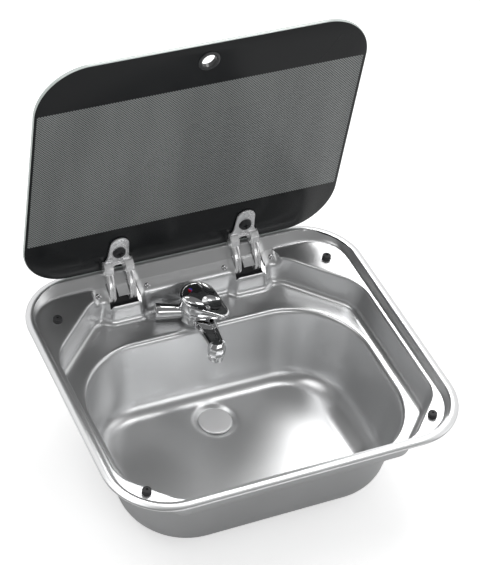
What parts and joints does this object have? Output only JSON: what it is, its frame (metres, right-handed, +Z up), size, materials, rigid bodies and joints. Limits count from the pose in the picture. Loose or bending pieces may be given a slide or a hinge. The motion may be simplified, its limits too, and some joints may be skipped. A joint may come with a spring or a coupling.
{
  "type": "rv sink with glass lid",
  "caption": "Built-in steel camper sink with a dark printed glass lid on friction hinges and a low single-lever mixer tap.",
  "frame": {"origin": "middle of the sink's outer rim, in the plane of the worktop that the rim rests on", "axes": "+Z up; +X to the right as the user stands at the front; +Y towards the back, where the lid is hinged"},
  "size_m": [0.42, 0.37, 0.4754],
  "materials": {
    "pressed_steel": "satin brushed stainless steel",
    "tap_chrome": "polished chrome plate",
    "hinge_chrome": "chrome on die casting",
    "lid_glass": "toughened glass with a black and dotted print",
    "black_rubber": "matt black rubber",
    "foam_seal": "matt black foam",
    "black_steel": "black satin paint",
    "pin_steel": "ground steel",
    "rivet_steel": "bright steel",
    "black_plastic": "matt black moulding",
    "grey_plastic": "satin pale grey moulding",
    "brass": "turned brass",
    "copper": "drawn copper pipe",
    "index_print": "gloss red and blue mark",
    "fibre": "vulcanised fibre",
    "plug_steel": "satin steel"
  },
  "bodies": {
    "sink": {"sink_bowl": "pressed_steel", "rim_seal": "foam_seal", "lid_buffers": "black_rubber", "hinge_housing_left": "black_steel", "hinge_housing_right": "black_steel", "hinge_rivets": "rivet_steel", "hinge_pin_left": "pin_steel", "hinge_pin_right": "pin_steel", "hinge_sleeves": "black_plastic", "friction_washers": "fibre", "tap_body": "brass", "tap_gasket": "black_rubber", "tap_washer": "fibre", "tap_nut": "brass", "inlet_hot": "copper", "inlet_cold": "copper", "tap_crown": "tap_chrome"},
    "lid": {"glass_lid": "lid_glass", "finger_grommet": "grey_plastic", "hinge_arm_left": "hinge_chrome", "hinge_arm_right": "hinge_chrome", "hinge_pads": "black_rubber", "hinge_screws": "black_plastic", "hinge_caps": "black_plastic"},
    "spout_arm": {"spout": "tap_chrome", "aerator": "tap_chrome"},
    "lever_base": {"lever_hub": "brass"},
    "lever": {"tap_lever": "tap_chrome", "lever_pin": "pin_steel", "index_mark": "index_print"},
    "plug": {"drain_plug": "plug_steel", "plug_seal": "black_rubber"}
  },
  "joints": [
    {"name": "lid_hinge", "type": "hinge", "parent": "sink", "child": "lid", "pos_m": [0, 0.1734, -0.0073], "axis": [1, 0, 0], "range_deg": [0, 85.46]},
    {"name": "spout_swivel", "type": "hinge", "parent": "sink", "child": "spout_arm", "pos_m": [0, 0.115, -0.043], "axis": [0, 0, 1], "range_deg": [-40, 60]},
    {"name": "lever_turn", "type": "hinge", "parent": "sink", "child": "lever_base", "pos_m": [0, 0.115, -0.043], "axis": [0, 0, 1], "range_deg": [-84, 16]},
    {"name": "lever_lift", "type": "hinge", "parent": "lever_base", "child": "lever", "pos_m": [-0.00727, 0.12578, -0.016], "axis": [-0.829, -0.5592, 0], "range_deg": [0, 12]},
    {"name": "plug_lift", "type": "slide", "parent": "sink", "child": "plug", "axis": [0, 0, 1], "range_m": [0, 0.06]}
  ]
}
